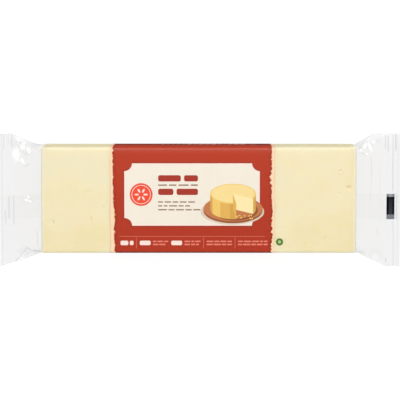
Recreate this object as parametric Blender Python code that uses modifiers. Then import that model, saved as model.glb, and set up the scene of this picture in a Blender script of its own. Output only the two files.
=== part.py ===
"""A block of cheddar sealed in a clear flow-wrap pack with a printed red band.

The pack lies on its back with the printed face up. +X runs along the pack, +Y up the printed face
and +Z out of it. The origin is under the middle of the pack, on the surface that it lies on.
"""

import math

import bmesh
import bpy

# The block in its tight film, whose underside is what the pack lies on
BLOCK_LENGTH = 0.1864
BLOCK_WIDTH = 0.0631
BLOCK_DEPTH = 0.0320
BLOCK_MIDDLE = (-0.0007, 0.0013, BLOCK_DEPTH / 2)
EDGE_RADIUS = 0.0016
EDGE_STEPS = 3

# The printed band round the block, sunk into a seat so that it lies flush
BAND_LEFT = -0.0534
BAND_RIGHT = 0.0444
BAND_THICKNESS = 0.0005
BAND_SINK = 0.0001  # keeps the band clear of the surface below

# Neighbouring pieces stay this far apart
GAP = 0.0003

# The clear ends, which flare out to a crimped seal at half the block's depth
PACK_LENGTH = 0.2392
SEAL_WIDTH = 0.0792
SEAL_LENGTH = 0.0085
SEAL_HALF_THICKNESS = 0.00045
RIB_PITCH = 0.0013
RIB_HEIGHT = 0.0003
TAPER = 1.25  # over 1, the film falls faster by the block than by the seal
TAIL_STEPS = 8

# Where each side fold starts and ends its flare, as a share of the way from block to seal, and
# the power of its curve: over 1, it opens slowly at first
FLARE = {
    ("left", "upper"): (0.0, 1.05, 1.25),
    ("left", "lower"): (0.01, 1.47, 0.75),
    ("right", "upper"): (-0.06, 0.565, 1.0),
    ("right", "lower"): (0.015, 1.0, 0.85),
}

# Points along the straight parts of a quarter of the block's section
SIDE_STEPS = 3
FACE_STEPS = 8

OUTWARDS = {"left": -1, "right": 1}

# Colour with its alpha, then roughness
FINISHES = {
    "cheddar": ((0.90, 0.80, 0.50, 1.0), 0.35),
    "clear_film": ((0.86, 0.87, 0.88, 0.30), 0.10),
    "red_print": ((0.50, 0.06, 0.03, 1.0), 0.25),
}


def clear_scene():
    for obj in list(bpy.data.objects):
        bpy.data.objects.remove(obj)


def new_collection(name):
    collection = bpy.data.collections.new(name)
    bpy.context.scene.collection.children.link(collection)
    return collection


def finish(name):
    """The material of that name, made when it is first asked for."""
    found = bpy.data.materials.get(name)
    if found:
        return found
    colour, roughness = FINISHES[name]
    made = bpy.data.materials.new(name)
    made.use_nodes = True
    shader = made.node_tree.nodes["Principled BSDF"]
    shader.inputs["Base Color"].default_value = colour
    shader.inputs["Roughness"].default_value = roughness
    shader.inputs["Metallic"].default_value = 0.0
    shader.inputs["Alpha"].default_value = colour[3]
    return made


def new_object(name, mesh_maker, collection, finish_name=None):
    mesh = bpy.data.meshes.new(name)
    mesh_maker.to_mesh(mesh)
    mesh_maker.free()
    obj = bpy.data.objects.new(name, mesh)
    collection.objects.link(obj)
    if finish_name:
        mesh.materials.append(finish(finish_name))
    return obj


def block_end(side):
    return BLOCK_MIDDLE[0] + OUTWARDS[side] * BLOCK_LENGTH / 2


def seal_start(side):
    return OUTWARDS[side] * (PACK_LENGTH / 2 - SEAL_LENGTH)


def between(a, b, share):
    return a + (b - a) * share


def clamped(value):
    return min(1.0, max(0.0, value))


def section():
    """Points round the block's section, from the middle of the upper side over the printed face
    to the lower side and back underneath. Each is (y, z, share), where share runs from 0 at the
    middle of a face to 1 or -1 at the middle of a side."""
    half_y = BLOCK_WIDTH / 2
    half_z = BLOCK_DEPTH / 2
    flat_y = half_y - EDGE_RADIUS
    flat_z = half_z - EDGE_RADIUS
    quarter = [(half_y, flat_z * i / SIDE_STEPS) for i in range(SIDE_STEPS)]
    for i in range(EDGE_STEPS):
        angle = math.pi / 2 * i / EDGE_STEPS
        y = flat_y + EDGE_RADIUS * math.cos(angle)
        z = flat_z + EDGE_RADIUS * math.sin(angle)
        quarter.append((y, z))
    quarter += [(flat_y * (1 - i / FACE_STEPS), half_z) for i in range(FACE_STEPS + 1)]
    walked = [0.0]
    for start, end in zip(quarter, quarter[1:]):
        walked.append(walked[-1] + math.dist(start, end))
    points = [(y, z, 1 - way / walked[-1]) for (y, z), way in zip(quarter, walked)]
    over = points + [(-y, z, -share) for y, z, share in reversed(points[:-1])]
    return over + [(y, -z, share) for y, z, share in reversed(over[1:-1])]


def flared(side, part, way):
    """How far a side fold has opened out, 1 at its full reach."""
    start, end, power = FLARE[side, part]
    return clamped((way - start) / (end - start)) ** power


def film_ring(side, x, lift=0.0):
    """The film's section at x, between the block's end and the tip of the seal."""
    way = (x - block_end(side)) / (seal_start(side) - block_end(side))
    drawn_in = 1 - (1 - clamped(way)) ** TAPER
    upper = flared(side, "upper", way)
    lower = flared(side, "lower", way)
    ring = []
    for y, z, share in section():
        spread = between(lower, upper, (1 + share) / 2)
        seal_z = math.copysign(SEAL_HALF_THICKNESS, z) if z else 0.0
        ring.append(
            (
                x,
                between(BLOCK_MIDDLE[1] + y, share * SEAL_WIDTH / 2, spread),
                BLOCK_MIDDLE[2] + between(z, seal_z, drawn_in) + lift,
            )
        )
    return ring


def add_loft(mesh_maker, rings):
    """Joins each ring of points to the next one, and closes the first and the last."""
    loops = [[mesh_maker.verts.new(point) for point in ring] for ring in rings]
    count = len(loops[0])
    for first, second in zip(loops, loops[1:]):
        for i in range(count):
            j = (i + 1) % count
            mesh_maker.faces.new((first[i], first[j], second[j], second[i]))
    for loop in (loops[0], loops[-1]):
        for i in range(count // 2):
            corners = (loop[i], loop[i + 1], loop[count - i - 1], loop[(count - i) % count])
            mesh_maker.faces.new(tuple(dict.fromkeys(corners)))
    bmesh.ops.recalc_face_normals(mesh_maker, faces=mesh_maker.faces)


def make_film_end(side, collection):
    """One clear end: drawn in from the block's end to the seal, whose crimp is a row of ribs."""
    inner = block_end(side) + OUTWARDS[side] * GAP
    steps = range(TAIL_STEPS)
    rings = [film_ring(side, between(inner, seal_start(side), i / TAIL_STEPS)) for i in steps]
    rib_sides = round(SEAL_LENGTH / (RIB_PITCH / 2))
    for i in range(rib_sides + 1):
        x = seal_start(side) + OUTWARDS[side] * SEAL_LENGTH * i / rib_sides
        rings.append(film_ring(side, x, RIB_HEIGHT / 2 * (-1) ** i))
    mesh_maker = bmesh.new()
    add_loft(mesh_maker, rings)
    return new_object(f"film_end_{side}", mesh_maker, collection, "clear_film")


def make_sleeve(name, left, right, inset, thickness, collection, finish_name=None):
    """A ring round the block from left to right, its outside inset from the block's surface."""
    size = (right - left, BLOCK_WIDTH - 2 * inset, BLOCK_DEPTH - 2 * inset)
    mesh_maker = bmesh.new()
    bmesh.ops.create_cube(mesh_maker, size=1.0)
    bmesh.ops.scale(mesh_maker, vec=size, verts=mesh_maker.verts)
    ends = [face for face in mesh_maker.faces if abs(face.normal.x) > 0.5]
    bmesh.ops.delete(mesh_maker, geom=ends, context="FACES_ONLY")
    bmesh.ops.bevel(
        mesh_maker,
        geom=[edge for edge in mesh_maker.edges if len(edge.link_faces) == 2],
        offset=EDGE_RADIUS - inset,
        segments=EDGE_STEPS,
        profile=0.5,
        affect="EDGES",
        material=-1,
    )
    sleeve = new_object(name, mesh_maker, collection, finish_name)
    sleeve.location = ((left + right) / 2, BLOCK_MIDDLE[1], BLOCK_MIDDLE[2])
    wall = sleeve.modifiers.new("thickness", "SOLIDIFY")
    wall.thickness = thickness
    wall.offset = -1.0
    wall.use_even_offset = True
    return sleeve


def make_block(collection, cutters):
    """The block, with rounded edges and a shallow seat for the band."""
    mesh_maker = bmesh.new()
    bmesh.ops.create_cube(mesh_maker, size=1.0)
    size = (BLOCK_LENGTH, BLOCK_WIDTH, BLOCK_DEPTH)
    bmesh.ops.scale(mesh_maker, vec=size, verts=mesh_maker.verts)
    block = new_object("cheddar_block", mesh_maker, collection, "cheddar")
    block.location = BLOCK_MIDDLE
    rounding = block.modifiers.new("rounded edges", "BEVEL")
    rounding.width = EDGE_RADIUS
    rounding.segments = EDGE_STEPS
    rounding.limit_method = "NONE"
    seat_depth = BAND_SINK + BAND_THICKNESS + GAP
    proud = EDGE_RADIUS / 2
    cutter = make_sleeve(
        "band_seat", BAND_LEFT - GAP, BAND_RIGHT + GAP, -proud, proud + seat_depth, cutters
    )
    cutter.hide_render = True
    cutter.display_type = "WIRE"
    seat = block.modifiers.new("seat for the band", "BOOLEAN")
    seat.operation = "DIFFERENCE"
    seat.object = cutter
    return block


def main():
    clear_scene()
    pack = new_collection("cheddar_pack")
    cutters = new_collection("cutters")
    make_block(pack, cutters)
    make_sleeve(
        "label_band", BAND_LEFT, BAND_RIGHT, BAND_SINK, BAND_THICKNESS, pack, "red_print"
    )
    for side in OUTWARDS:
        make_film_end(side, pack)


main()
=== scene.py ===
import math
import random

import bmesh
import bpy
from mathutils import Matrix, Vector, noise


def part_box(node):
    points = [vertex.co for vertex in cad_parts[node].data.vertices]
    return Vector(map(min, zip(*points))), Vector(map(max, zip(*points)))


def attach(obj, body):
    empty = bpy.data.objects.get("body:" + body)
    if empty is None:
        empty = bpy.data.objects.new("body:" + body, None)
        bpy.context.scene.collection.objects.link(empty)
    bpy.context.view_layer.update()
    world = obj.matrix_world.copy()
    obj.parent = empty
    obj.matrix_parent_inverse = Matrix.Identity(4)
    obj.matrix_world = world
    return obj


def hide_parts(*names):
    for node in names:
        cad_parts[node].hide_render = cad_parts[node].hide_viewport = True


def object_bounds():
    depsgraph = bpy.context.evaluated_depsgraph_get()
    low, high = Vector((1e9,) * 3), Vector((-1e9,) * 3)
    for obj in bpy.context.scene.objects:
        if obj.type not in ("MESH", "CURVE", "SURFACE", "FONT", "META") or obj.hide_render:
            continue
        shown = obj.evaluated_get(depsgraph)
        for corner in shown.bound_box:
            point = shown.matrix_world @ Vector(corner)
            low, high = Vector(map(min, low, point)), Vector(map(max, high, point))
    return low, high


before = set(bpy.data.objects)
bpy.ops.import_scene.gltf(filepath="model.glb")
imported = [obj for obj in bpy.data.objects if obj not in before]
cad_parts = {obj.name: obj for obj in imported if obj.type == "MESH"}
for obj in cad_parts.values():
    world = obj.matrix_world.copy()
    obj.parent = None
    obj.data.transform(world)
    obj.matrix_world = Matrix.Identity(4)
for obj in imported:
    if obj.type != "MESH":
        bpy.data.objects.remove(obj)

cadLow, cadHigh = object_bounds()
blockLow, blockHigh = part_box("cheddar_block")
bandLow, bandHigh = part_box("label_band")
blockMiddle = (blockLow + blockHigh) / 2
halfBlock = (blockHigh - blockLow) / 2
faceZ = blockHigh.z
mm = 0.001
hair = 1e-6  # places closer than this count as one


# small helpers

def between(a, b, share):
    return a + (b - a) * share


def clamped(value):
    return min(1.0, max(0.0, value))


def eased(value, low, high):
    t = clamped((value - low) / (high - low))
    return t * t * (3 - 2 * t)


def linear(red, green, blue):
    # screen colour, 0 to 255, to the linear one that shaders take
    def one(c):
        c /= 255
        return c / 12.92 if c <= 0.04045 else ((c + 0.055) / 1.055) ** 2.4
    return (one(red), one(green), one(blue), 1.0)


def addObject(name, data):
    made = bpy.data.objects.new(name, data)
    bpy.context.scene.collection.objects.link(made)
    return made


def addPiece(name, bm, material, replaced=(), smooth=True):
    mesh = bpy.data.meshes.new(name)
    for face in bm.faces:
        face.smooth = smooth
    bm.to_mesh(mesh)
    bm.free()
    mesh.materials.append(material)
    piece = addObject(name, mesh)
    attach(piece, "root")
    if replaced:
        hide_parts(*replaced)
    return piece


def bentGrid(columns, rows, place):
    # a flat grid whose point (i, j) moves to place(i, j); points that meet are merged
    bm = bmesh.new()
    bmesh.ops.create_grid(bm, x_segments=columns, y_segments=rows, size=1.0)
    for vert in bm.verts:
        i = round((vert.co.x + 1) / 2 * columns)
        j = round((vert.co.y + 1) / 2 * rows)
        vert.co = place(i, j)
    bmesh.ops.remove_doubles(bm, verts=bm.verts, dist=1e-7)
    bmesh.ops.dissolve_degenerate(bm, edges=bm.edges, dist=1e-7)
    bmesh.ops.recalc_face_normals(bm, faces=bm.faces)
    return bm


# node helpers

def newMaterial(name):
    material = bpy.data.materials.new(name)
    material.use_nodes = True
    nodes = material.node_tree.nodes
    return material, nodes, nodes["Principled BSDF"]


def join(source, socket):
    source.id_data.links.new(source, socket)


def setUp(node, values):
    for name, value in values.items():
        node.inputs[name].default_value = value


def noiseOf(nodes, source, scale, detail=3.0, rough=0.5, stretch=(1, 1, 1)):
    mapping = nodes.new("ShaderNodeMapping")
    mapping.inputs["Scale"].default_value = stretch
    join(source, mapping.inputs["Vector"])
    made = nodes.new("ShaderNodeTexNoise")
    setUp(made, {"Scale": scale, "Detail": detail, "Roughness": rough})
    join(mapping.outputs["Vector"], made.inputs["Vector"])
    return made.outputs["Fac"]


def rampOf(nodes, source, stops):
    ramp = nodes.new("ShaderNodeValToRGB")
    while len(ramp.color_ramp.elements) < len(stops):
        ramp.color_ramp.elements.new(0.5)
    for element, (position, colour) in zip(ramp.color_ramp.elements, stops):
        element.position = position
        element.color = colour
    join(source, ramp.inputs["Fac"])
    return ramp.outputs["Color"]


def mathOf(nodes, operation, *values, clamp=False):
    made = nodes.new("ShaderNodeMath")
    made.operation = operation
    made.use_clamp = clamp
    for socket, value in zip(made.inputs, values):
        if isinstance(value, (int, float)):
            socket.default_value = value
        else:
            join(value, socket)
    return made.outputs["Value"]


def bumpOf(nodes, height, strength, distance):
    made = nodes.new("ShaderNodeBump")
    setUp(made, {"Strength": strength, "Distance": distance})
    join(height, made.inputs["Height"])
    return made.outputs["Normal"]


def blendOf(nodes, share, source, colour):
    # from what the source gives to one plain colour
    made = nodes.new("ShaderNodeMix")
    made.data_type = "RGBA"
    join(share, made.inputs["Factor"])
    join(source, made.inputs["A"])
    made.inputs["B"].default_value = colour
    return made.outputs["Result"]


def attributeOf(nodes, name):
    made = nodes.new("ShaderNodeAttribute")
    made.attribute_name = name
    return made.outputs["Fac"]


# camera, floor and lights

cameraPlace = {
    "distance": 1.2,  # from the printed face
    "offset": 0.111,  # towards the pack's upper side
    "aim": (0.0, 0.0014),
    "width": 0.236,  # what the frame takes in at the printed face
    "sensor": 36.0,
}


def makeCamera():
    place = cameraPlace
    aim = Vector((*place["aim"], faceZ))
    data = bpy.data.cameras.new("camera")
    camera = addObject("camera", data)
    camera.location = aim + Vector((0, place["offset"], place["distance"]))
    away = camera.location - aim
    tilt = math.atan2(place["offset"], place["distance"])
    camera.rotation_euler = (-tilt, 0, 0)
    data.sensor_width = place["sensor"]
    data.lens = place["sensor"] * away.length / place["width"]
    data.clip_start = 0.05
    data.clip_end = 20
    bpy.context.scene.camera = camera


studio = {
    "floorSize": 40.0,
    "floorDrop": 0.2 * mm,  # just clear of the pack's underside
    "floorColour": (0.12, 0.12, 0.12, 1),
    "floorGlow": 0.93,  # as the camera sees it
    "floorLight": 0.50,  # as it lights the pack
    "horizon": (0.49, 0.49, 0.495, 1),
    "zenith": (0.40, 0.405, 0.41, 1),
    "zenithFrom": 0.9,
    "backdrop": (1, 1, 1, 1),  # behind the floor's end, as the camera sees it
}

lamps = (
    # name, place, size, watts, what it points at
    ("keyLight", (0.02, 0.68, 1.20), (1.4, 1.2), 18.8, (0, 0, 0.02)),
    ("fillLight", (0.05, -1.30, 0.45), (1.6, 0.5), 5.5, (0, 0, 0.016)),
)


def makeFloor():
    bm = bmesh.new()
    bmesh.ops.create_grid(bm, x_segments=1, y_segments=1, size=studio["floorSize"] / 2)
    mesh = bpy.data.meshes.new("floor")
    bm.to_mesh(mesh)
    bm.free()
    floor = addObject("floor", mesh)
    floor.location.z = -studio["floorDrop"]
    material, nodes, shader = newMaterial("paleTable")
    setUp(shader, {"Base Color": studio["floorColour"], "Emission Color": (1, 1, 1, 1)})
    setUp(shader, {"Roughness": 0.9, "Specular IOR Level": 0.0})
    seen = nodes.new("ShaderNodeLightPath").outputs["Is Camera Ray"]
    extra = studio["floorGlow"] - studio["floorLight"]
    glow = mathOf(nodes, "MULTIPLY_ADD", seen, extra, studio["floorLight"])
    join(glow, shader.inputs["Emission Strength"])
    mesh.materials.append(material)


def makeWorld():
    world = bpy.data.worlds.new("studio")
    world.use_nodes = True
    bpy.context.scene.world = world
    nodes = world.node_tree.nodes
    coordinates = nodes.new("ShaderNodeTexCoord")
    split = nodes.new("ShaderNodeSeparateXYZ")
    join(coordinates.outputs["Generated"], split.inputs["Vector"])
    stops = ((0.0, studio["horizon"]), (studio["zenithFrom"], studio["zenith"]))
    sky = rampOf(nodes, split.outputs["Z"], stops)
    seen = nodes.new("ShaderNodeLightPath").outputs["Is Camera Ray"]
    backdrop = blendOf(nodes, seen, sky, studio["backdrop"])
    join(backdrop, nodes["Background"].inputs["Color"])
    bpy.context.scene.view_settings.view_transform = "Standard"


def makeLamps():
    for name, place, size, watts, target in lamps:
        data = bpy.data.lights.new(name, "AREA")
        data.shape = "RECTANGLE"
        data.size, data.size_y = size
        data.energy = watts
        lamp = addObject(name, data)
        lamp.location = place
        direction = Vector(target) - Vector(place)
        lamp.rotation_euler = direction.to_track_quat("-Z", "Y").to_euler()
    print("camera, floor and lamps made")


# the round-cornered section that the cheese, the band and the film share

edgeRadius = 1.6 * mm
sideShare = 0.4  # of an inset, at the long sides, where the layers lie closer


def sectionPoint(way, inset=0.0):
    # way runs 0 to 1 round the block, from the middle of the upper side over the printed face
    halfY, halfZ = halfBlock.y - inset * sideShare, halfBlock.z - inset
    radius = edgeRadius - inset
    rise, arc, run = halfZ - radius, math.pi / 2 * radius, halfY - radius
    quarter = rise + arc + run
    turn = (way % 1.0) * 4
    part = int(turn)
    along = turn - part if part % 2 == 0 else 1 - (turn - part)
    walked = along * quarter
    if walked < rise:
        y, z = halfY, walked
    elif walked < rise + arc:
        angle = (walked - rise) / radius
        y, z = run + radius * math.cos(angle), rise + radius * math.sin(angle)
    else:
        y, z = run - (walked - rise - arc), halfZ
    lower = part in (1, 2)
    behind = part in (2, 3)
    share = 1 - along
    return (-y if lower else y), (-z if behind else z), (-share if lower else share)


# the cheese: a wire-cut block with small pits and soft dents

cheese = {
    "inset": 0.29 * mm,  # room for the film and the print
    "sideReach": 0.13 * mm,
    "endReach": 0.30 * mm,  # how much further the ends come, where there is no print
    "edgeSteps": 4,
    "gridStep": 1.1 * mm,
    "swell": 0.04 * mm,
    "crown": 0.2 * mm,
    "pitMargin": 0.8 * mm,  # how far round a pit the grid is finer
    "pitCuts": 3,
    "colour": linear(241, 229, 191),
    "paler": linear(238, 229, 196),
    "deeper": linear(239, 225, 180),
    # painted light: the film's pale veil over the block's ends
    "paintedHaze": linear(250, 246, 228),
    "broadScale": 38,  # of the cloudy shades
    "fineScale": 420,  # and of the grain
    "grain": 0.22,
    "paintedLightRise": 6.0,  # painted light: paler towards the pack's upper side, per metre
    "sideStart": 1.2 * mm,  # below the printed face, where the painted shade of the sides starts
    "sideFade": 0.8 * mm,
    "sideShade": 0.45,
    "rightStart": 78 * mm,
    "rightFade": 12 * mm,
    "rightShade": 0.20,
    "hazeReach": 2.8 * mm,  # the painted haze at the ends starts this far in
    "seed": 5,
    "strayPits": 46,
    "strayReach": (0.8, 2.2),  # mm
    "strayDepth": (0.15, 0.5),  # mm
}

# place on the printed face, reach along and across, depth, all in mm
cheesePits = (
    (-86.9, -11.5, 0.55, 1.5, 1.10),
    (-66.4, 6.2, 2.6, 2.0, 0.22),
    (-64.2, -9.6, 0.6, 1.1, 0.70),
    (-57.2, -2.7, 1.1, 0.9, 0.45),
    (-74.5, -24.9, 3.0, 2.0, 0.20),
    (-88.2, -18.0, 0.9, 0.7, 0.25),
    (83.0, 18.7, 1.0, 1.0, 0.95),
    (85.4, 16.4, 1.0, 0.8, 0.35),
    (87.8, 8.4, 2.1, 1.9, 1.05),
    (82.1, 4.8, 1.4, 0.8, 0.30),
    (74.2, -21.0, 1.4, 1.0, 0.30),
    (61.7, -24.9, 1.6, 1.1, 0.28),
    (52.0, 14.0, 3.4, 2.2, 0.16),
    (66.0, -6.0, 3.8, 2.6, 0.14),
)


def makeCheeseMaterial():
    material, nodes, shader = newMaterial("cheddarCheese")
    place = nodes.new("ShaderNodeTexCoord").outputs["Object"]
    broad = noiseOf(nodes, place, cheese["broadScale"], 4, 0.55, (1, 1.5, 1.5))
    fine = noiseOf(nodes, place, cheese["fineScale"], 3, 0.6)
    grain = mathOf(nodes, "MULTIPLY_ADD", fine, cheese["grain"], -cheese["grain"] / 2)
    shade = mathOf(nodes, "ADD", broad, grain)
    split = nodes.new("ShaderNodeSeparateXYZ")
    join(place, split.inputs["Vector"])
    x, y, z = [split.outputs[axis] for axis in "XYZ"]
    # painted light: the cheese grows paler towards the pack's upper side
    shade = mathOf(nodes, "MULTIPLY_ADD", y, cheese["paintedLightRise"], shade)
    # deeper on the sides, as painted shade, and deeper where the printed face nears its right-hand
    # end
    slope = 1 / cheese["sideFade"]
    start = (faceZ - cheese["sideStart"]) * slope
    side = mathOf(nodes, "MULTIPLY_ADD", z, -slope, start, clamp=True)
    shade = mathOf(nodes, "MULTIPLY_ADD", side, -cheese["sideShade"], shade)
    slope = 1 / cheese["rightFade"]
    start = -cheese["rightStart"] * slope
    right = mathOf(nodes, "MULTIPLY_ADD", x, slope, start, clamp=True)
    shade = mathOf(nodes, "MULTIPLY_ADD", right, -cheese["rightShade"], shade)
    stops = ((0.25, cheese["deeper"]), (0.50, cheese["colour"]), (0.75, cheese["paler"]))
    colour = rampOf(nodes, shade, stops)
    # painted light: a pale haze along both ends of the printed face, standing for the light that
    # the loose film throws back there
    fromMiddle = mathOf(nodes, "SUBTRACT", x, blockMiddle.x)
    fromMiddle = mathOf(nodes, "ABSOLUTE", fromMiddle)
    slope = 1 / cheese["hazeReach"]
    start = 1 - halfBlock.x * slope
    haze = mathOf(nodes, "MULTIPLY_ADD", fromMiddle, slope, start, clamp=True)
    haze = mathOf(nodes, "MULTIPLY", haze, haze)
    front = mathOf(nodes, "SUBTRACT", 1.0, side)
    haze = mathOf(nodes, "MULTIPLY", haze, front)
    colour = blendOf(nodes, haze, colour, cheese["paintedHaze"])
    join(colour, shader.inputs["Base Color"])
    setUp(shader, {"Roughness": 0.45, "Specular IOR Level": 0.0})  # the film has the gloss
    setUp(shader, {"Subsurface Weight": 0.35, "Subsurface Radius": (1.0, 0.8, 0.35)})
    setUp(shader, {"Subsurface Scale": 4 * mm})
    join(bumpOf(nodes, fine, 0.25, 0.0002), shader.inputs["Normal"])
    return material


def strayPits():
    # more pits, on every face but the printed one: the face's axis and sign, the place on it as
    # shares of its half sizes, then reach and depth
    draw = random.Random(cheese["seed"])
    pits = []
    for _ in range(cheese["strayPits"]):
        axis, sign = draw.choice(((1, 1), (1, -1), (2, -1), (0, 1), (0, -1)))
        reach = draw.uniform(*cheese["strayReach"]) * mm
        u, v = draw.uniform(-1, 1), draw.uniform(-1, 1)
        pits.append((axis, sign, u, v, reach, draw.uniform(*cheese["strayDepth"]) * mm))
    return pits


def makeCheese():
    half = halfBlock - Vector((1, 1, 1)) * cheese["inset"]
    half.x += cheese["endReach"]
    half.y += cheese["sideReach"]
    bm = bmesh.new()
    bmesh.ops.create_cube(bm, size=2.0)
    bmesh.ops.scale(bm, vec=half, verts=bm.verts)
    bmesh.ops.bevel(
        bm,
        geom=list(bm.edges),
        offset=edgeRadius - cheese["inset"],
        segments=cheese["edgeSteps"],
        profile=0.5,
        affect="EDGES",
        material=-1,
    )
    for axis in range(3):
        lengthwise = [
            edge
            for edge in bm.edges
            if abs((edge.verts[1].co - edge.verts[0].co)[axis]) > half[axis]
        ]
        cuts = round(2 * half[axis] / cheese["gridStep"])
        bmesh.ops.subdivide_edges(bm, edges=lengthwise, cuts=cuts, use_grid_fill=True)
    # finer squares round each pit of the printed face
    for x, y, along, across, depth in cheesePits:
        centre = Vector((x * mm, y * mm)) - blockMiddle.xy
        reach = along * mm + cheese["pitMargin"]
        near = [
            edge
            for edge in bm.edges
            if edge.verts[0].co.z > half.z - hair
            and all((vert.co.xy - centre).length < reach for vert in edge.verts)
        ]
        bmesh.ops.subdivide_edges(bm, edges=near, cuts=cheese["pitCuts"], use_grid_fill=True)
    strays = strayPits()
    for vert in bm.verts:
        place = vert.co.copy()
        outward = Vector([(max(0, abs(place[a]) - half[a] + edgeRadius)) for a in range(3)])
        outward = Vector([math.copysign(outward[a], place[a]) for a in range(3)])
        if outward.length > 0:
            outward.normalize()
        swell = noise.noise(place * 70) + 0.5 * noise.noise(place * 260)
        move = outward * cheese["swell"] * (swell - 1)
        if abs(place.x) > half.x - edgeRadius:
            bulge = (place.y / half.y) ** 2 / 2 + (place.z / half.z) ** 2 / 2
            move.x -= math.copysign(cheese["crown"] * bulge, place.x)
        if place.z > half.z - hair:
            for x, y, along, across, depth in cheesePits:
                dx = (place.x + blockMiddle.x - x * mm) / (along * mm)
                dy = (place.y + blockMiddle.y - y * mm) / (across * mm)
                far = math.hypot(dx, dy) * (1 + 0.3 * noise.noise(place * 1500))
                move.z -= depth * mm * (1 - eased(far, 0.15, 1.0))
        for axis, sign, u, v, reach, depth in strays:
            if place[axis] * sign > half[axis] - hair:
                b, c = [a for a in range(3) if a != axis]
                spread = Vector((place[b] - u * half[b], place[c] - v * half[c])).length
                move[axis] -= sign * depth * (1 - eased(spread, 0.1 * mm, reach))
        vert.co = place + move + blockMiddle
    addPiece("cheese", bm, makeCheeseMaterial(), ["cheddar_block"])
    print("cheese made")


# the print: one material that reads each face's ink

inks = {
    # painted light: the band's red is brighter towards the top (redHigh) than at its foot (redLow)
    "redHigh": linear(184, 55, 22),
    "redLow": linear(176, 50, 22),
    "tornEdge": linear(252, 216, 178),
    "cream": linear(241, 232, 216),
    "creamRim": linear(250, 226, 213),
    "creamShade": linear(222, 205, 184),
    # dark maroon: ink of the printed stripe and outlines, and painted shade along the band's lower
    # edge
    "shade": linear(126, 36, 22),
    "vermilion": linear(240, 78, 52),
    "brick": linear(168, 52, 36),
    "dust": linear(150, 120, 104),
    "gold": linear(240, 200, 108),
    "goldPale": linear(246, 220, 150),
    "goldMid": linear(226, 178, 88),
    "cutFace": linear(250, 230, 172),
    "goldDeep": linear(214, 164, 78),
    "wood": linear(197, 123, 74),
    "woodDeep": linear(150, 84, 46),
    "pinkPrint": linear(232, 128, 108),
    "rule": linear(212, 100, 80),
    "leaf": linear(78, 120, 44),
    "leafPale": linear(170, 205, 130),
    "markBlack": linear(16, 18, 22),
    "markPaintedSheen": linear(55, 58, 66),
    "markGrey": linear(116, 118, 124),
    "markGreyPaintedSheen": linear(144, 146, 151),
}


def makePrintMaterial():
    material, nodes, shader = newMaterial("printedInk")
    ink = nodes.new("ShaderNodeVertexColor")
    ink.layer_name = "ink"
    place = nodes.new("ShaderNodeTexCoord").outputs["Object"]
    mottle = noiseOf(nodes, place, 900, 2, 0.6)
    cloud = noiseOf(nodes, place, 45, 3, 0.5)
    both = mathOf(nodes, "ADD", mottle, cloud)
    value = mathOf(nodes, "MULTIPLY_ADD", both, 0.07, 0.93)
    hue = nodes.new("ShaderNodeHueSaturation")
    join(ink.outputs["Color"], hue.inputs["Color"])
    join(value, hue.inputs["Value"])
    join(hue.outputs["Color"], shader.inputs["Base Color"])
    setUp(shader, {"Roughness": 0.5, "Specular IOR Level": 0.0})  # the film has the gloss
    join(bumpOf(nodes, mottle, 0.06, 0.0001), shader.inputs["Normal"])
    return material


def inkLayer(bm):
    # made before the first face
    layers = bm.loops.layers.float_color
    return layers.get("ink") or layers.new("ink")


def inkFaces(faces, layer, colour):
    for face in faces:
        for loop in face.loops:
            loop[layer] = colour


band = {
    "inset": 0.20 * mm,
    "around": 620,
    "columns": 28,
    "tornColumns": 3,
    "tornSink": 0.01 * mm,
    "tornWidth": 1.2 * mm,
    "tornMargin": 0.35 * mm,  # from the band's own ends
    "leftDraw": 0.75 * mm,  # how far in the red starts at the left
    "leftSlant": 0.5 * mm,  # less of it on the upper side and more on the lower one
    "rightDraw": 0.35 * mm,
    "edgeStray": 0.45 * mm,  # how far the torn edge wanders
    "edgeFray": 0.40 * mm,  # and how rough it is
    "bite": 2.2 * mm,  # reach of the larger tears into the red
    "biteFrom": 0.30,
    "stripe": 12.0 * mm,  # height of the dark stripe on the upper side
    "rim": 0.8 * mm,  # width of the painted shade along the lower edge
    "rimDepth": 2.5 * mm,
    "thickness": 0.05 * mm,
}


def onCircle(turn):
    # the same at both ends of a turn round the pack, so that an edge made from it closes
    angle = turn * 2 * math.pi
    return Vector((math.cos(angle), math.sin(angle), 0))


def ragged(turn, key):
    circle = onCircle(turn)
    slow = noise.noise(circle * 4.5 + Vector((0, 0, key)))
    middling = noise.noise(circle * 16 + Vector((0, 0, key + 7)))
    rough = noise.noise(circle * 60 + Vector((0, 0, key + 13)))
    return band["edgeStray"] * (slow + 0.7 * middling) + band["edgeFray"] * rough


def biteAt(turn, key):
    depth = noise.noise(onCircle(turn) * 26 + Vector((0, 0, key))) - band["biteFrom"]
    return band["bite"] * max(0.0, depth)


# broad dips of the torn edges: how far round, reach and depth
tears = {
    "left": ((0.190, 0.020, -0.4 * mm), (0.306, 0.030, 1.0 * mm), (0.393, 0.012, 0.4 * mm)),
    "right": (
        (0.180, 0.018, -0.7 * mm),
        (0.258, 0.020, -0.6 * mm),
        (0.345, 0.030, 0.3 * mm),
        (0.375, 0.016, 0.7 * mm),
    ),
}


def tearAt(side, turn):
    return sum(deep * math.exp(-(((turn - at) / reach) ** 2)) for at, reach, deep in tears[side])


def tornWidth(turn, key):
    return band["tornWidth"] * (0.85 + 1.1 * abs(noise.noise(Vector((turn * 90, key, 0)))))


def bandEdges(turn):
    # where the torn edge, the red, the other torn edge and nothing more start, from left to right
    outer = bandLow.x + band["tornMargin"] + ragged(turn, 1.3)
    left = outer + tornWidth(turn, 3.1)
    left += band["leftDraw"] - band["leftSlant"] * math.cos(turn * 2 * math.pi)
    left += ragged(turn, 31.7) * 0.6 + biteAt(turn, 11.3) + tearAt("left", turn)
    far = bandHigh.x - band["tornMargin"] + ragged(turn, 57.9)
    right = far - tornWidth(turn, 9.4) - band["rightDraw"]
    right += ragged(turn, 83.1) * 0.6 - biteAt(turn, 47.9) + tearAt("right", turn)
    return outer, left, right, far


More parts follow.
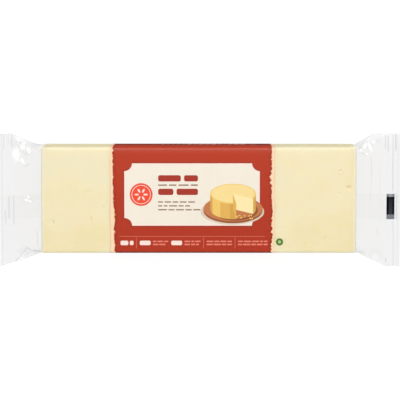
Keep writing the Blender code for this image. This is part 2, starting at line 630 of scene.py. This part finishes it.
def bandInk(place):
    # redder towards the top as painted light, dark in the printed stripe of the upper side, and
    # dark along the lower edge as painted shade
    high = blockMiddle.y + halfBlock.y - band["inset"] * sideShare
    low = blockMiddle.y - halfBlock.y + band["inset"] * sideShare
    if place.y > high - 0.1 * mm and place.z < band["stripe"]:
        return inks["shade"]
    # painted shade along the lower edge, which turns away from the light
    if place.y < low + band["rim"] and place.z > faceZ - band["rimDepth"]:
        return inks["shade"]
    # painted light: brighter towards the top
    height = clamped((place.y - bandLow.y) / (bandHigh.y - bandLow.y))
    return [between(a, b, height) for a, b in zip(inks["redLow"], inks["redHigh"])]


def makeRing(name, material, edges, columns, sink, inkAt, replaced=()):
    # a ring round the block, between two of the wandering edges, sunk below the band's face
    around = band["around"]

    def place(i, j):
        turn = (j / around) % 1.0
        ends = bandEdges(turn)
        start, end = ends[edges[0]], ends[edges[1]]
        y, z, _ = sectionPoint(turn, band["inset"] + sink)
        return Vector((between(start, end, i / columns), blockMiddle.y + y, blockMiddle.z + z))

    bm = bentGrid(columns, around, place)
    layer = inkLayer(bm)
    for face in bm.faces:
        for loop in face.loops:
            loop[layer] = inkAt(loop.vert.co)
    ring = addPiece(name, bm, material, replaced)
    wall = ring.modifiers.new("film", "SOLIDIFY")
    wall.thickness = band["thickness"]
    wall.offset = -1.0


def makeBand(material):
    makeRing("labelBand", material, (1, 2), band["columns"], 0.0, bandInk, ["label_band"])

    def tornInk(place):
        return inks["tornEdge"]

    for name, edges in (("tornEdgeLeft", (0, 1)), ("tornEdgeRight", (2, 3))):
        makeRing(name, material, edges, band["tornColumns"], band["tornSink"], tornInk)
    print("band made")


# flat fields of ink on the band, each a plate a hair thick

plateStep = 0.008 * mm
bandTop = faceZ - band["inset"]
facing = {
    "front": Matrix.Translation((0, 0, bandTop)),
    "upper": Matrix.Translation((0, blockMiddle.y + halfBlock.y - band["inset"] * sideShare, 0))
    @ Matrix.Rotation(-math.pi / 2, 4, "X"),
    "back": Matrix.Translation((0, 0, blockLow.z + band["inset"]))
    @ Matrix.Rotation(math.pi, 4, "Y"),
}


def addPlate(bm, ink, place, size, side="front", level=1, corner=0.0, sides=4, turn=0.0):
    # place and size in mm; four sides make a bar, more make a disc
    start = math.pi / 4 if sides == 4 else 0.0
    radius = math.sqrt(0.5) if sides == 4 else 0.5
    shape = Matrix.Rotation(turn, 4, "Z") @ Matrix.Diagonal((size[0] * mm, size[1] * mm, 1, 1))
    shape = shape @ Matrix.Rotation(start, 4, "Z")
    shape = Matrix.Translation((place[0] * mm, place[1] * mm, 0)) @ shape
    made = bmesh.ops.create_circle(bm, cap_ends=True, segments=sides, radius=radius, matrix=shape)
    if corner:
        made = bmesh.ops.bevel(
            bm,
            geom=made["verts"],
            offset=corner * mm,
            segments=5,
            profile=0.5,
            affect="VERTICES",
            material=-1,
        )
    finishPlate(bm, made["verts"][0].link_faces[0], ink, side, level)


def addOutline(bm, ink, points, level):
    made = bmesh.ops.create_circle(bm, cap_ends=True, segments=len(points), radius=1.0)
    for vert, point in zip(made["verts"], points):
        vert.co = Vector((point[0] * mm, point[1] * mm, 0))
    face = made["verts"][0].link_faces[0]
    face.normal_update()
    finishPlate(bm, face, ink, "front", level)


def finishPlate(bm, face, ink, side, level):
    # raises a flat face to its level, with walls, and takes it to its side of the band
    layer = inkLayer(bm)
    if face.normal.z < 0:
        face.normal_flip()
    pulled = bmesh.ops.extrude_face_region(bm, geom=[face])["geom"]
    top = [item for item in pulled if isinstance(item, bmesh.types.BMVert)]
    bmesh.ops.translate(bm, verts=top, vec=(0, 0, plateStep * level))
    whole = set(top)
    for vert in top:
        whole.update(edge.other_vert(vert) for edge in vert.link_edges)
    whole = list(whole)
    bmesh.ops.transform(bm, matrix=facing[side], verts=whole)
    for vert in whole:
        inkFaces(vert.link_faces, layer, inks[ink])


def addDashes(bm, ink, left, y, height, lengths, gap, **more):
    # a line of plain dashes or bars
    x = left
    for length in lengths:
        addPlate(bm, ink, (x + length / 2, y), (length, height), corner=height * 0.3, **more)
        x += length + gap


# all in mm
art = {
    "plaque": (-4.7, 4.6),
    "plaqueSize": (80.0, 37.0),
    "bite": 4.6,
    "rim": 1.1,
    "outline": 0.4,
    "seal": -30.0,  # from the plaque's middle
    "sealRings": (("vermilion", 13.5), ("creamRim", 11.3), ("vermilion", 10.6)),
    "petals": 6,
    "petalReach": 2.6,
    "petalSize": (2.6, 1.1),
    "barsFrom": -20.0,
    "barHeight": 3.7,
    "foot": -20.2,  # the rule under the plaque
    "wheel": (19.5, 5.0),
    "wheelSize": (27.0, 12.0),
    "wheelDepth": 9.0,
    "boardMargin": (8.0, 3.0),
    "shadeMargin": (10.5, 3.4),
    "wedge": (278, 332),  # degrees
    "crumbs": 9,
    "backPanel": (18.0, 1.5),
    "backPanelSize": (40.0, 46.0),
    "seed": 3,
}


def ticketOutline(inset, arcSteps=8):
    # a rectangle with a round bite out of each corner
    px, py = art["plaque"]
    halfX, halfY = art["plaqueSize"][0] / 2, art["plaqueSize"][1] / 2
    reach = art["bite"] + inset
    lap = math.asin(inset / reach)
    points = []
    for quarter, (sx, sy) in enumerate(((1, 1), (-1, 1), (-1, -1), (1, -1))):
        first = math.pi * (1 + quarter / 2)
        for step in range(arcSteps + 1):
            angle = between(first + math.pi / 2 - lap, first + lap, step / arcSteps)
            points.append((
                px + sx * halfX + reach * math.cos(angle),
                py + sy * halfY + reach * math.sin(angle),
            ))
    return points


def makeArt(material):
    bm = bmesh.new()
    inkLayer(bm)
    draw = random.Random(art["seed"])
    px, py = art["plaque"]
    addOutline(bm, "shade", ticketOutline(-art["outline"]), 1)
    addOutline(bm, "creamRim", ticketOutline(0.0), 2)
    addOutline(bm, "cream", ticketOutline(art["rim"]), 3)

    # a round seal with a rosette at the left
    seal = (px + art["seal"], py)
    for step, (ink, size) in enumerate(art["sealRings"]):
        addPlate(bm, ink, seal, (size, size), level=4 + step, sides=56)
    for k in range(art["petals"]):
        angle = k * 2 * math.pi / art["petals"]
        x = seal[0] + art["petalReach"] * math.cos(angle)
        y = seal[1] + art["petalReach"] * math.sin(angle)
        addPlate(bm, "creamRim", (x, y), art["petalSize"], level=7, sides=20, turn=angle)

    # two rows of broad bars, and thin dashes under each
    left = px + art["barsFrom"]
    height = art["barHeight"]
    addDashes(bm, "brick", left, py + 9.6, height, (13.4, 8.2), 1.9, level=4)
    addDashes(bm, "dust", left, py + 5.6, 0.8, (5.2, 4.4, 6.0, 4.2), 1.2, level=4)
    addDashes(bm, "brick", left, py + 1.6, height, (9.0, 12.6), 1.9, level=4)
    for row in range(3):
        lengths = [draw.uniform(2.2, 5.2) for _ in range(5)]
        addDashes(bm, "dust", left, py - 4.4 - 2.3 * row, 0.75, lengths, 0.9, level=4)

    makeWheel(bm)

    # rules, bars and rows of small dashes below the plaque
    foot = art["foot"]
    addPlate(bm, "rule", (px, foot), (86.0, 0.4))
    for x in (-37.6, 2.1, 20.7):
        addPlate(bm, "rule", (x, foot - 3.9), (0.4, 6.6))
    for left, lengths in ((-47.0, (4.6, 2.2)), (-35.6, (6.4,)), (-17.0, (6.4,))):
        addDashes(bm, "creamRim", left, foot - 3.9, 2.7, lengths, 0.9)
    for left, room in ((-27.8, 9.0), (-9.2, 9.5), (3.9, 15.0), (22.5, 18.0)):
        for row in range(2):
            x = left
            while x < left + room - 1.5:
                length = min(draw.uniform(1.6, 4.4), left + room - x)
                y = foot - 3.0 - row * 1.8
                addPlate(bm, "pinkPrint", (x + length / 2, y), (length, 0.9))
                x += length + 0.6

    # short bars in the dark stripe of the upper side
    lengths = [draw.uniform(1.2, 2.8) for _ in range(15)]
    addDashes(bm, "creamRim", -23.0, -6.6, 7.0, lengths, 1.1, side="upper")
    addDashes(bm, "pinkPrint", 31.0, -12.5, 6.0, (2.6, 1.2, 1.9), 0.5, side="upper")

    # a pale panel of plain rules on the back; its X runs the other way
    addPlate(bm, "cream", art["backPanel"], art["backPanelSize"], side="back", corner=0.8)
    middle = art["backPanel"][0]
    for row in range(13):
        y = 20.5 - row * 3.1
        length = draw.uniform(9, 20)
        addDashes(bm, "dust", 0.5, y, 0.8, (length,), 0, side="back", level=2)
        addDashes(bm, "dust", 31.5, y, 0.8, (4.0,), 0, side="back", level=2)
        addPlate(bm, "dust", (middle, y - 1.5), (36.0, 0.12), side="back", level=2)
    for row in range(9):
        lengths = [draw.uniform(2.0, 6.0) for _ in range(5)]
        addDashes(bm, "pinkPrint", -34.0, 20 - row * 3.4, 0.9, lengths, 0.9, side="back")
    addPiece("labelArt", bm, material, smooth=False)
    print("print made")


def makeWheel(bm):
    # a whole cheese on a round board, with a wedge cut out of its front
    x, y = art["wheel"]
    width, height = art["wheelSize"]
    deep = art["wheelDepth"]
    low = y - deep

    def rimPoint(degrees, drop=0.0):
        angle = math.radians(degrees)
        return x + width / 2 * math.cos(angle), y - drop + height / 2 * math.sin(angle)

    def rimPoints(first, last, steps, drop=0.0):
        return [rimPoint(between(first, last, k / steps), drop) for k in range(steps + 1)]

    board = (width + art["boardMargin"][0], height + art["boardMargin"][1])
    shade = (width + art["shadeMargin"][0], height + art["shadeMargin"][1])
    rounds = (
        ("creamShade", (x - 0.4, low - 1.6), shade, 4),
        ("woodDeep", (x, low - 0.9), board, 5),
        ("wood", (x, low + 0.2), board, 6),
        ("woodDeep", (x + 1.2, low - 0.8), (width, height), 7),
        ("goldDeep", (x, low), (width, height), 8),
    )
    for ink, place, size, level in rounds:
        addPlate(bm, ink, place, size, level=level, sides=64)
    addPlate(bm, "goldDeep", (x, y - deep / 2), (width, deep), level=9)
    for first, last, ink in ((180, 206, "goldDeep"), (206, 236, "gold"), (236, 262, "goldMid")):
        foot = rimPoints(first, last, 5, deep)
        addOutline(bm, ink, rimPoints(first, last, 5) + foot[::-1], 10)
    addPlate(bm, "gold", (x, y), (width, height), level=11, sides=64)
    top = (width - 1.4, height - 1.1)
    addPlate(bm, "goldPale", (x, y + 0.2), top, level=12, sides=64)
    # the gap that the wedge left: the board under it and its two cut faces
    heart, floorHeart = (x, y), (x, y - deep)
    first, last = art["wedge"]
    foot = rimPoints(first, last, 6, deep)
    rim = rimPoints(first, last, 6)
    addOutline(bm, "wood", rim + foot[::-1], 13)
    addOutline(bm, "wood", [heart] + rim, 14)
    addOutline(bm, "cutFace", (heart, floorHeart, foot[-1], rim[-1]), 15)
    addOutline(bm, "goldMid", (heart, rim[0], foot[0], floorHeart), 16)
    # crumbs on the board
    draw = random.Random(art["seed"] + 1)
    for _ in range(art["crumbs"]):
        place = (x + draw.uniform(1.5, 12.0), low - draw.uniform(3.6, 6.0))
        size = draw.uniform(0.7, 1.5)
        turn = draw.uniform(0, 3)
        addPlate(bm, "gold", place, (size, size * 0.7), level=17, sides=7, turn=turn)


spot = {
    "middle": (47.0, -23.5),  # mm
    "size": 4.2,
    "heart": 1.9,
}


def makeGreenSpot(material):
    bm = bmesh.new()
    inkLayer(bm)
    addPlate(bm, "leaf", spot["middle"], [spot["size"]] * 2, sides=40)
    addPlate(bm, "leafPale", spot["middle"], [spot["heart"]] * 2, level=2, sides=28)
    addPiece("greenSpot", bm, material, smooth=False)
    print("green spot made")


# the clear film: one tube round the block, drawn in to a crimped seal at each end

film = {
    "around": 440,
    "blockSteps": 24,
    "tailSteps": 60,
    "sealSteps": 38,
    "sealLength": 8.5 * mm,
    "sealWidth": 79.2 * mm,
    "layerGap": 0.10 * mm,  # half the way between the two layers in the seal
    "ribPitch": 1.3 * mm,
    "ribHeight": 0.035 * mm,
    "taper": 1.25,
    "crinkle": 0.07 * mm,
    "ripple": 0.014 * mm,
    "underside": 0.10 * mm,  # keeps the film off the floor, on the back seam
    "shoulder": 2.6 * mm,  # the film falls away gently over this width, before the upper edge
    "shoulderDrop": 0.10 * mm,
    "shoulderRest": 0.4 * mm,  # the fall's last part, over the rounded edge itself
    "shoulderRestShare": 0.16,
    "shoulderEnd": 4 * mm,  # it fades this far from the block's ends
    "pressed": (0.92, 1.05),  # where the crimp starts, as a share of the way from block to seal
    "sealWarp": 0.25 * mm,
    "glossFade": (0.52, 0.66),  # the taut film's gloss, over the long sides
    # painted shade along the folds of the tails
    "foldShade": 0.30,
    "calmShare": 0.95,
    "calmDark": 0.13,
}

# where each side fold starts and ends its flare, as a share of the way from block to seal, and
# the power of its curve
flare = {
    ("left", "upper"): (0.0, 1.05, 1.25),
    ("left", "lower"): (0.01, 1.47, 0.75),
    ("right", "upper"): (-0.06, 0.565, 1.0),
    ("right", "lower"): (0.015, 1.0, 0.85),
}

# creases of both layers, of the front one and of the back one: the place of each one's start and
# end, lift and reach in mm, then how dark, as painted shade
sealCreases = (
    (-118.2, 39.6, -118.2, -39.6, 0.05, 0.35, 0.14),
    (115.1, 39.6, 115.2, 5.0, 0.06, 0.28, 0.40),
    (115.5, -12.0, 115.8, -39.6, 0.05, 0.30, 0.22),
    (118.1, 39.6, 118.1, -39.6, 0.03, 0.30, 0.12),
)

frontCreases = (
    (-117.0, 39.6, -117.0, 30.0, 0.08, 0.30, 0.40),
    (-114.4, 39.6, -114.4, 33.5, 0.10, 0.30, 0.30),
    (-112.2, 39.6, -112.2, 31.0, 0.10, 0.35, 0.60),
    (-111.4, 3.0, -111.4, -15.0, 0.10, 0.35, 0.55),
    (-114.2, 2.3, -114.2, -11.0, 0.08, 0.45, 0.55),
    (-116.4, -6.0, -116.2, -14.6, 0.08, 0.60, 0.30),
    (-110.6, 1.4, -94.0, 2.8, 0.25, 0.40, 0.10),
    (-105.0, -2.5, -99.0, 3.0, 0.25, 0.50, 0.10),
    (-111.0, 36.0, -102.5, 26.0, 0.60, 0.80, 0.20),
    (-109.5, 35.0, -104.5, 33.0, -0.35, 0.50, 0.45),
    (-105.5, 29.0, -101.0, 27.5, -0.30, 0.50, 0.35),
    (-107.8, 25.0, -103.8, 20.5, 0.35, 0.60, 0.20),
    (-104.0, 20.0, -101.0, 22.5, -0.20, 0.50, 0.30),
    (-94.5, 30.5, -110.0, 38.0, 0.20, 0.50, 0.20),
    (-96.6, -17.0, -96.0, -26.5, -0.30, 0.40, 0.40),
    (-93.8, -29.0, -99.9, -29.4, 0.70, 0.50, 1.00),
    (-99.9, -29.4, -103.6, -27.8, 0.50, 0.50, 0.55),
    (-103.0, -28.2, -110.8, -37.2, 0.45, 0.50, 0.60),
    (-101.0, -30.4, -108.6, -35.5, -0.35, 0.50, 0.35),
    (116.8, 39.6, 116.8, 29.6, 0.10, 0.34, 1.00),
    (112.2, 39.6, 112.2, 28.6, 0.08, 0.28, 0.75),
    (110.6, 39.6, 110.6, 30.5, 0.08, 0.28, 0.60),
    (117.4, 4.0, 117.4, -12.0, 0.05, 0.30, 0.80),
    (101.7, 26.8, 101.9, 14.0, -0.12, 0.35, 0.35),
    (101.9, 14.0, 101.0, 0.0, -0.08, 0.40, 0.18),
    (107.0, 20.0, 107.4, -5.0, 0.06, 0.40, 0.12),
    (93.2, 4.1, 103.0, 3.3, 0.25, 0.40, 0.10),
    (101.5, 3.6, 114.6, 2.6, 0.18, 0.40, 0.14),
    (93.2, 30.6, 98.5, 36.0, 0.40, 0.45, 0.30),
    (94.6, 29.5, 98.6, 27.8, -0.30, 0.45, 0.25),
    (100.6, 37.0, 102.6, 28.2, 0.45, 0.55, 0.15),
    (99.0, 31.5, 104.0, 33.8, -0.25, 0.50, 0.25),
    (92.8, -29.0, 98.6, -31.0, 0.35, 0.50, 0.30),
    (111.2, -35.2, 111.3, -37.4, 0.12, 0.40, 0.80),
    (105.2, -16.5, 106.3, -21.0, 0.15, 0.45, 0.20),
)

backCreases = (
    (-94.0, 14.0, -111.0, 12.0, 0.20, 0.9, 0.0),
    (93.0, 12.0, 110.0, 14.5, 0.30, 0.8, 0.0),
    (-94.0, 28.0, -110.0, 24.0, 0.35, 0.8, 0.0),
    (93.0, 28.0, 109.0, 24.0, 0.35, 0.8, 0.0),
    (-94.0, -27.0, -110.0, -24.0, 0.35, 0.8, 0.0),
    (93.0, -27.0, 109.0, -24.0, 0.35, 0.8, 0.0),
)

# small facets of the front layer that turn towards the light: middle, reach along and across, turn
# and gloss
facets = (
    (-101.6, 30.5, 3.0, 1.5, -58, 1.0),
    (-105.6, 32.2, 1.9, 2.8, 8, 1.0),
    (-109.4, 26.8, 3.0, 4.2, 0, 0.8),
    (-105.9, 23.9, 2.7, 1.6, -48, 1.0),
    (-107.0, 25.6, 0.8, 1.7, 10, 0.9),
    (-102.2, 0.2, 3.4, 1.3, -10, 1.0),
    (-101.6, 0.9, 1.5, 3.0, 20, 1.0),
    (95.0, 30.4, 1.9, 1.0, 12, 1.0),
    (97.9, 32.4, 3.2, 1.1, 56, 1.0),
    (100.9, 32.2, 3.0, 1.3, -66, 1.0),
    (98.6, 28.4, 1.5, 0.9, -10, 0.9),
    (103.6, 35.0, 1.8, 1.0, 30, 0.6),
    (108.0, 3.4, 1.3, 0.5, -8, 1.0),
)

# how steeply they rise along and across the pack
facetSlope = {"left": (0.02, -0.31), "right": (0.10, -0.305)}

# places where the film lies calm and dull: middle and reach
calmSpots = (
    ((105.3, 38.0), 4.5),
    ((105.0, -34.0), 5.0),
    ((-105.5, -31.5), 4.0),
    ((-111.5, 34.5), 3.5),
)


def filmStations():
    tips = cadLow.x, cadHigh.x
    seals = tips[0] + film["sealLength"], tips[1] - film["sealLength"]
    knots = (tips[0], seals[0], blockLow.x, blockHigh.x, seals[1], tips[1])
    end, tail, middle = film["sealSteps"], film["tailSteps"], film["blockSteps"]
    steps = (end, tail, middle, tail, end)
    xs = [tips[0]]
    for left, right, count in zip(knots, knots[1:], steps):
        xs += [between(left, right, (i + 1) / count) for i in range(count)]
    return xs


def wayOut(x):
    if x < blockMiddle.x:
        return "left", (blockLow.x - x) / (blockLow.x - cadLow.x - film["sealLength"])
    return "right", (x - blockHigh.x) / (cadHigh.x - film["sealLength"] - blockHigh.x)


def flared(side, part, way):
    start, end, power = flare[side, part]
    return clamped((way - start) / (end - start)) ** power


def creaseAt(x, y, front):
    # how far the creases lift the film there, and how dark its painted shade makes it
    lift, dark = 0.0, 0.0
    point = Vector((x / mm, y / mm))
    own = frontCreases if front else backCreases
    for x1, y1, x2, y2, height, reach, darkness in own + sealCreases:
        if not min(x1, x2) - 4 < point.x < max(x1, x2) + 4:
            continue
        start, along = Vector((x1, y1)), Vector((x2 - x1, y2 - y1))
        length = along.length
        t = clamped((point - start).dot(along) / length**2)
        far = (point - start - along * t).length / reach
        if far > 5:
            continue
        taper = min(1.0, (1.5 + min(t, 1 - t) * length) / 3.0)
        lift += height * taper * math.exp(-far)
        dark = max(dark, darkness * taper * math.exp(-far * far))
    return lift * mm, dark


def facetAt(x, y):
    # how far a point belongs to a facet, and which one
    best, found = 0.0, None
    for facet in facets:
        middleX, middleY, along, across, turn, gloss = facet
        dx, dy = x / mm - middleX, y / mm - middleY
        if abs(dx) > 5 or abs(dy) > 5:
            continue
        angle = math.radians(turn)
        u = (dx * math.cos(angle) + dy * math.sin(angle)) / along
        v = (dy * math.cos(angle) - dx * math.sin(angle)) / across
        rough = noise.noise(Vector((x * 700, y * 700, 2.0)))
        weight = 1 - eased(math.hypot(u, v) + 0.45 * rough, 0.75, 1.25)
        if weight > best:
            best, found = weight, facet
    return best, found


def calmAt(x, y):
    calm = 0.0
    for (middleX, middleY), reach in calmSpots:
        far = math.hypot(x / mm - middleX, y / mm - middleY) / reach
        calm = max(calm, 1 - eased(far, 0.6, 1.2))
    return calm


def crinkleAt(x, y, front):
    # soft ridges that run mostly from the block to the seal
    key = 4.0 if front else 19.0
    ridge = 1 - 2 * abs(noise.noise(Vector((x / mm * 0.05, y / mm * 0.16, key))))
    cross = 1 - 2 * abs(noise.noise(Vector((x / mm * 0.16, y / mm * 0.10, key + 5))))
    return ridge + 0.5 * cross - 0.6


def ribAt(x, y):
    pressed = 0.6 + 0.6 * noise.noise(Vector((x / mm * 0.1, y / mm * 0.09, 3.0)))
    pressed += 1.1 * eased(y, 27 * mm, 33 * mm)
    return film["ribHeight"] * pressed * math.sin(2 * math.pi * x / film["ribPitch"])


def warpAt(x, y):
    # the slow wave of the seals
    wave = math.sin(y / mm * 0.11 + x * 40) + noise.noise(Vector((x * 60, y * 60, 8)))
    return film["sealWarp"] * wave


def shoulderAt(x, y):
    # how far the front of the film drops where it nears the rounded upper edge of the block
    past = y - (blockMiddle.y + halfBlock.y - edgeRadius)
    slope = clamped(1 + past / film["shoulder"]) ** 2
    rest = clamped(past / film["shoulderRest"])
    drop = slope + film["shoulderRestShare"] * rest * (2 - rest)
    toEnd = clamped((halfBlock.x - abs(x - blockMiddle.x)) / film["shoulderEnd"])
    return film["shoulderDrop"] * drop * toEnd


def drawnIn(way):
    # how far the film has come down from the block's section to the seal's
    return 1 - (1 - clamped(way)) ** film["taper"]


def plainFilm(x, turn):
    # the film's place there without its facets, how loose and glossy it is, and how dark its
    # painted shade is
    y, z, share = sectionPoint(turn)
    side, way = wayOut(x)
    spread = between(flared(side, "lower", way), flared(side, "upper", way), (1 + share) / 2)
    front = z >= 0
    layer = math.copysign(film["layerGap"], z) if abs(share) < 0.999 else 0.0
    place = Vector((
        x,
        between(blockMiddle.y + y, share * film["sealWidth"] / 2, spread),
        between(z, layer, drawnIn(way)),
    ))
    loose = eased(way, -0.02, 0.05)
    gloss = (1 - eased(abs(share), *film["glossFade"])) * (1 - loose)
    dark = 0.0
    if way > 0:
        edge = 1 - abs(share) ** 6
        free = eased(way, 0.0, 0.15) * (1 - 0.8 * eased(way, 0.86, 1.0)) * edge
        lift, dark = creaseAt(x, place.y, front)
        lift += film["crinkle"] * crinkleAt(x, place.y, front)
        place.z += (lift if front else -lift) * free
        pressed = eased(way, *film["pressed"])
        place.z += pressed * (ribAt(x, place.y) + warpAt(x, place.y))
        calm = calmAt(x, place.y)
        loose *= 1 - film["calmShare"] * calm
        # painted shade along the folds at the film's edges, and a darker tint at the calm spots
        dark = max(
            dark,
            film["foldShade"] * eased(abs(share), 0.985, 1.0),
            film["calmDark"] * calm,
        )
    else:
        ripple = noise.noise(place * 55) + 0.5 * noise.noise(place * 160)
        place.z += math.copysign(film["ripple"], z) * ripple * (1 - abs(share))
        if front:
            place.z -= shoulderAt(x, place.y) * clamped(z / (halfBlock.z - edgeRadius))
    place.z += blockMiddle.z
    return place, loose, dark, gloss


def frontHeight(x, y):
    # the height of the film's front layer at that place
    first, last = 0.0, 0.5
    for _ in range(24):
        turn = (first + last) / 2
        place = plainFilm(x, turn)[0]
        if place.y > y:
            first = turn
        else:
            last = turn
    return place.z


facetHeights = {facet: frontHeight(facet[0] * mm, facet[1] * mm) for facet in facets}


def filmPoint(x, turn):
    place, loose, dark, gloss = plainFilm(x, turn)
    side, way = wayOut(x)
    if way > 0 and turn < 0.5:
        weight, facet = facetAt(x, place.y)
        if facet:
            slope = facetSlope[side]
            flat = facetHeights[facet] + slope[0] * (x - facet[0] * mm)
            flat += slope[1] * (place.y - facet[1] * mm)
            place.z = between(place.z, flat, weight)
            loose = between(loose, facet[5], weight)
    return place, (loose, dark, gloss)


filmLook = {
    "tint": 0.948,  # of what is seen through it
    "seamTint": 0.995,
    "creaseShadeTint": (0.7, 0.7, 0.71),  # and through its darkest creases, as shares of that: painted shade
    "tautWaves": 0.12,  # of the loose film's waves
    "tautRough": 0.30,
    "looseRough": 0.14,
    # the share of light that it throws back, seen straight on and how much more at a slant
    "looseMirror": (0.030, 0.45),
    "tautMirror": (0.025, 0.02),
    "glossMirror": 0.28,
}


def makeFilmMaterial(name, tint):
    look = filmLook
    material, nodes, shader = newMaterial(name)
    place = nodes.new("ShaderNodeTexCoord").outputs["Object"]
    loose = attributeOf(nodes, "loose")
    paintedShade = attributeOf(nodes, "paintedShade")
    gloss = attributeOf(nodes, "gloss")
    waves = noiseOf(nodes, place, 160, 3, 0.5, (0.45, 1, 1))
    fine = noiseOf(nodes, place, 1500, 2, 0.5)
    height = mathOf(nodes, "MULTIPLY_ADD", fine, 0.08, waves)
    low = look["tautWaves"]
    wavy = mathOf(nodes, "MULTIPLY_ADD", loose, 1 - low, low)
    height = mathOf(nodes, "MULTIPLY", height, wavy)
    normal = bumpOf(nodes, height, 0.25, 0.0003)
    setUp(shader, {"Base Color": (0.97, 0.97, 0.97, 1), "Metallic": 1.0})
    taut, change = look["tautRough"], look["looseRough"] - look["tautRough"]
    rough = mathOf(nodes, "MULTIPLY_ADD", loose, change, taut)
    join(rough, shader.inputs["Roughness"])
    join(normal, shader.inputs["Normal"])
    clear = nodes.new("ShaderNodeBsdfTransparent")
    creased = [tint * share for share in look["creaseShadeTint"]]
    # painted shade: the see-through tint darkens along the creases and folds
    stops = ((0.0, (tint, tint, tint, 1)), (1.0, (*creased, 1)))
    join(rampOf(nodes, paintedShade, stops), clear.inputs["Color"])
    # little light comes back where the film is taut over the long sides
    weight = nodes.new("ShaderNodeLayerWeight")
    weight.inputs["Blend"].default_value = 0.5
    join(normal, weight.inputs["Normal"])
    slant = mathOf(nodes, "POWER", weight.outputs["Facing"], 2.0)
    steep = mathOf(nodes, "MULTIPLY", slant, slant)
    straight, more = look["looseMirror"]
    free = mathOf(nodes, "MULTIPLY_ADD", steep, more, straight)
    free = mathOf(nodes, "MULTIPLY", free, loose)
    straight, more = look["tautMirror"]
    sheen = mathOf(nodes, "MULTIPLY_ADD", gloss, look["glossMirror"], more)
    taut = mathOf(nodes, "MULTIPLY_ADD", slant, sheen, straight)
    amount = mathOf(nodes, "ADD", free, taut, clamp=True)
    mix = nodes.new("ShaderNodeMixShader")
    join(amount, mix.inputs["Fac"])
    join(clear.outputs["BSDF"], mix.inputs[1])
    join(shader.outputs["BSDF"], mix.inputs[2])
    join(mix.outputs["Shader"], nodes["Material Output"].inputs["Surface"])
    return material


def pointKey(point):
    return round(point.x, 7), round(point.y, 7), round(point.z, 7)


def addTraits(bm, traits):
    # how loose and glossy the film is, and the painted shade of its creases, as attributes of its
    # points
    layers = [bm.verts.layers.float.new(name) for name in ("loose", "paintedShade", "gloss")]
    for vert in bm.verts:
        for layer, value in zip(layers, traits.get(pointKey(vert.co), (0.0, 0.0, 0.0))):
            vert[layer] = value


def makeFilm():
    xs = filmStations()
    columns, around = len(xs) - 1, film["around"]
    traits = {}

    def place(i, j):
        point, trait = filmPoint(xs[i], (j / around) % 1.0)
        if i in (0, columns):  # the two layers meet at the tip
            low, _ = filmPoint(xs[i], (1 - j / around) % 1.0)
            point.z = (point.z + low.z) / 2
        point.z = max(point.z, film["underside"])
        traits[pointKey(point)] = trait
        return point

    bm = bentGrid(columns, around, place)
    addTraits(bm, traits)
    material = makeFilmMaterial("clearFilm", filmLook["tint"])
    addPiece("wrapFilm", bm, material, ["film_end_left", "film_end_right"])
    print("film made")


# the lengthwise seam, a flap that lies flat along the back

seam = {
    "low": -12.0 * mm,
    "high": 2.5 * mm,
    "columns": 420,
    "rows": 40,
    "pitch": 1.1 * mm,
    "height": 0.03 * mm,
    "sink": 0.06 * mm,  # under the back of the film
    "tailSink": 0.48 * mm,  # and this much more past the block's ends
    "loose": 0.5,
    # painted shade along the flap's two edges
    "edgeShade": 0.4,
}


def makeSeam():
    traits = {}

    def place(i, j):
        x = between(cadLow.x, cadHigh.x, i / seam["columns"])
        y = between(seam["low"], seam["high"], j / seam["rows"])
        side, way = wayOut(x)
        top = between(-halfBlock.z + film["underside"], -film["layerGap"], drawnIn(way))
        z = blockMiddle.z + top - seam["sink"] - seam["tailSink"] * clamped(way * 4)
        z += eased(way, *film["pressed"]) * ribAt(x, y)
        z += seam["height"] * math.sin(2 * math.pi * y / seam["pitch"])
        point = Vector((x, y, z))
        under = 1 - eased(way, -0.1, 0.0)
        edge = eased(abs(j / seam["rows"] - 0.5), 0.44, 0.49)
        traits[pointKey(point)] = (seam["loose"] * under, seam["edgeShade"] * edge * under, under)
        return point

    bm = bentGrid(seam["columns"], seam["rows"], place)
    addTraits(bm, traits)
    material = makeFilmMaterial("seamFilm", filmLook["seamTint"])
    addPiece("backSeam", bm, material)
    print("seam made")


# the black register mark on the right-hand seal

mark = {
    "middle": (113.9 * mm, -4.0 * mm),
    "size": (4.8 * mm, 15.2 * mm),
    "greyTop": 1.75 * mm,
    "greyBottom": 2.7 * mm,
    "sheen": (0.30, 0.76),  # the strip with a painted sheen of the film, as shares of the width
    "above": 0.05 * mm,
    "columns": 28,
    "rows": 60,
}


def markInk(place):
    # black between two grey ends, with a painted sheen of the film making it paler along its
    # middle
    across = (place.x - mark["middle"][0]) / mark["size"][0] + 0.5
    height = place.y - mark["middle"][1] + mark["size"][1] / 2
    inPaintedSheen = mark["sheen"][0] < across < mark["sheen"][1]
    if height > mark["size"][1] - mark["greyTop"]:
        return inks["markGreyPaintedSheen" if inPaintedSheen else "markGrey"]
    if height < mark["greyBottom"]:
        return inks["markGrey"]
    # painted sheen, paler towards the lower end
    sheen = clamped(1.15 - height / mark["size"][1]) if inPaintedSheen else 0.0
    return [between(a, b, sheen) for a, b in zip(inks["markBlack"], inks["markPaintedSheen"])]


def makeMark(material):
    columns, rows = mark["columns"], mark["rows"]

    def place(i, j):
        x = mark["middle"][0] + (i / columns - 0.5) * mark["size"][0]
        y = mark["middle"][1] + (j / rows - 0.5) * mark["size"][1]
        z = blockMiddle.z + film["layerGap"] + ribAt(x, y) + warpAt(x, y)
        return Vector((x, y, z + mark["above"]))

    bm = bentGrid(columns, rows, place)
    layer = inkLayer(bm)
    for face in bm.faces:
        inkFaces([face], layer, markInk(face.calc_center_median()))
    addPiece("registerMark", bm, material)
    print("mark made")


makeCamera()
makeFloor()
makeWorld()
makeLamps()
makeCheese()
printInk = makePrintMaterial()
makeBand(printInk)
makeArt(printInk)
makeGreenSpot(printInk)
makeFilm()
makeSeam()
makeMark(printInk)
